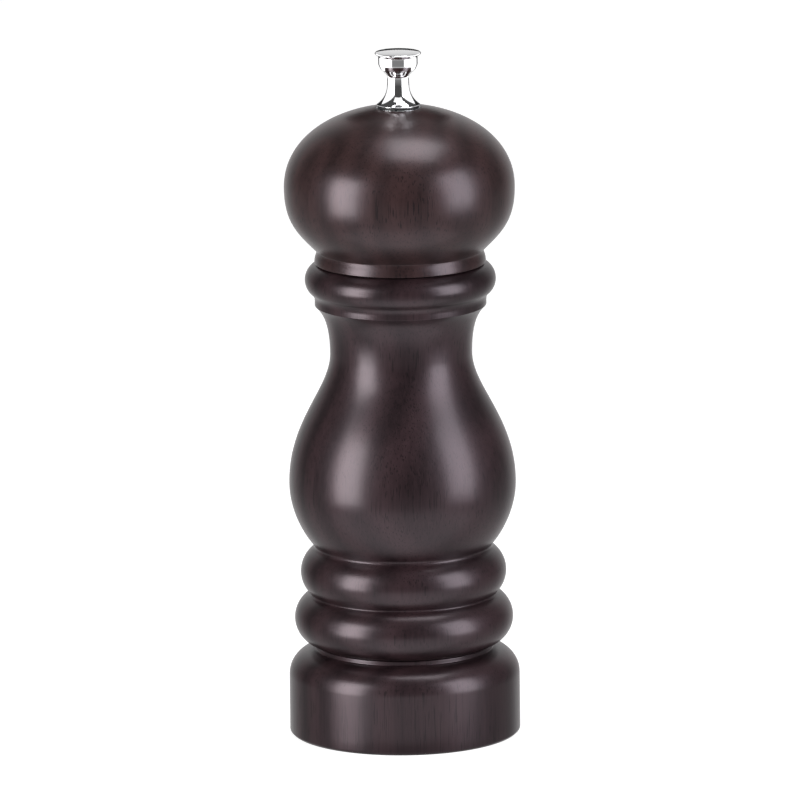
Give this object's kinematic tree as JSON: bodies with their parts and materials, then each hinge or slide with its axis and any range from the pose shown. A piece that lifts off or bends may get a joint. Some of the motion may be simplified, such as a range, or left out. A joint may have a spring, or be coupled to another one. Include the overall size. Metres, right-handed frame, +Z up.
{
  "type": "pepper mill",
  "caption": "Turned dark wood pepper mill with a round rotating head, a chrome adjusting knob, a square drive shaft and a conical steel burr grinder inside.",
  "frame": {"origin": "centre of the base, on the surface that the mill stands on", "axes": "+Z up along the axis of the turned body, +X towards one screw of the retaining bar"},
  "size_m": [0.055, 0.055, 0.165],
  "materials": {
    "lacquered_wood": "dark espresso stain under satin lacquer",
    "nylon": "matt black nylon",
    "bright_steel": "stainless steel, fine brushed",
    "screw_steel": "zinc plated",
    "burr_steel": "hardened dark steel",
    "spring_steel": "bright spring wire",
    "brass": "turned brass",
    "chrome": "polished chrome plate"
  },
  "bodies": {
    "body": {"body_shell": "lacquered_wood", "glide_ring": "nylon", "mechanism_housing": "bright_steel", "housing_screws": "screw_steel", "guide_bush": "brass", "stator_burr": "burr_steel", "retaining_bar": "bright_steel", "retaining_bar_screws": "screw_steel"},
    "turning_spring": {"spring_washer": "bright_steel", "compression_spring": "spring_steel"},
    "spindle": {"drive_shaft": "bright_steel", "rotor_burr": "burr_steel", "rotor_washer": "bright_steel", "shaft_circlip": "spring_steel"},
    "head": {"head_shell": "lacquered_wood", "head_bush": "bright_steel", "drive_plate": "bright_steel", "drive_plate_screws": "screw_steel"},
    "knob_seat": {"knob_washer": "nylon"},
    "knob": {"adjusting_knob": "chrome"}
  },
  "joints": [
    {"name": "grind_turn", "type": "hinge", "parent": "body", "child": "turning_spring", "pos_m": [0, 0, 0.03], "axis": [0, 0, 1], "continuous": true},
    {"name": "spindle_lift", "type": "slide", "parent": "turning_spring", "child": "spindle", "axis": [0, 0, 1], "range_m": [0, 0.0014], "deforming": ["compression_spring"]},
    {"name": "head_lift", "type": "slide", "parent": "turning_spring", "child": "head", "axis": [0, 0, 1], "range_m": [0, 0.065]},
    {"name": "knob_off", "type": "slide", "parent": "head", "child": "knob_seat", "axis": [0, 0, 1], "range_m": [0, 0.02]},
    {"name": "knob_turn", "type": "hinge", "parent": "knob_seat", "child": "knob", "pos_m": [0, 0, 0.155], "axis": [0, 0, -1], "range_deg": [0, 720]}
  ],
  "couplings": [
    {"joint": "knob_turn", "follows": "spindle_lift", "rad_per_m": 8976}
  ]
}
